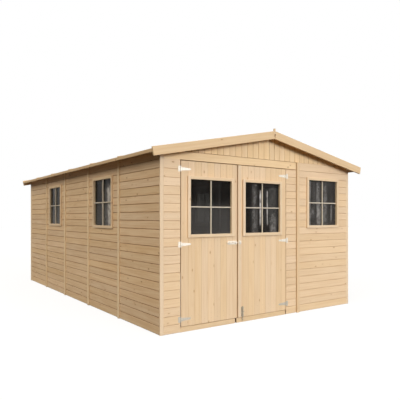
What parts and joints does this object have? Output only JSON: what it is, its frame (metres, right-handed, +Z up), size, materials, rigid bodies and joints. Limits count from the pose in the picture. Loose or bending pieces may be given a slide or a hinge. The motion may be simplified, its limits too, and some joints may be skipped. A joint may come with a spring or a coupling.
{
  "type": "wooden garden shed",
  "caption": "Panel-built wooden garden shed with a low pitched roof, a pair of glazed boarded doors in the gable end that swing outwards, and small four-pane windows.",
  "frame": {"origin": "on the ground, under the middle of the roof's outline", "axes": "+Z up, +Y along the ridge from the doors to the back, +X to the right seen from the doors"},
  "size_m": [3.308, 5.106, 2.258],
  "materials": {
    "boards": "planed softwood boards, untreated",
    "planed_trim": "planed softwood, untreated",
    "sawn_frame": "sawn softwood, untreated",
    "zinc": "bright zinc plate",
    "dull_zinc": "dull zinc plate",
    "window_glass": "clear sheet glass"
  },
  "bodies": {
    "shed": {"back_bargeboards": "planed_trim", "back_gable": "boards", "back_wall_panels": "boards", "corner_strips": "planed_trim", "door_sill": "sawn_frame", "eave_boards": "planed_trim", "front_bargeboards": "planed_trim", "front_gable": "boards", "front_header": "boards", "front_left_jamb": "boards", "front_right_jamb": "boards", "front_window_panel": "boards", "jamb_hinge_plates": "zinc", "left_roof_panels": "boards", "left_wall_panels": "boards", "left_wall_window_panels": "boards", "ridge_beam": "sawn_frame", "ridge_strip": "planed_trim", "right_roof_panels": "boards", "right_wall_panels": "boards", "right_wall_window_panels": "boards", "roof_bearers": "sawn_frame", "roof_cover_strips": "planed_trim", "wall_cover_strips": "planed_trim", "wall_posts": "sawn_frame", "wall_rails": "sawn_frame", "wall_window_frames": "planed_trim", "wall_window_glass": "window_glass"},
    "left_door": {"left_door_boards": "boards", "left_door_brace": "sawn_frame", "left_door_glass": "window_glass", "left_door_hinge_straps": "zinc", "left_door_ledges": "sawn_frame", "left_door_window_frame": "planed_trim", "door_latch": "zinc"},
    "right_door": {"right_door_boards": "boards", "right_door_brace": "sawn_frame", "right_door_glass": "window_glass", "right_door_hinge_straps": "zinc", "right_door_ledges": "sawn_frame", "right_door_window_frame": "planed_trim", "meeting_strip": "planed_trim", "latch_keeper": "zinc", "foot_bolt": "dull_zinc"}
  },
  "joints": [
    {"name": "left_door_hinge", "type": "hinge", "parent": "shed", "child": "left_door", "pos_m": [-1.262, -2.454, 0.92], "axis": [0, 0, -1], "range_deg": [0, 165]},
    {"name": "right_door_hinge", "type": "hinge", "parent": "shed", "child": "right_door", "pos_m": [0.287, -2.454, 0.92], "axis": [0, 0, 1], "range_deg": [0, 165]}
  ]
}
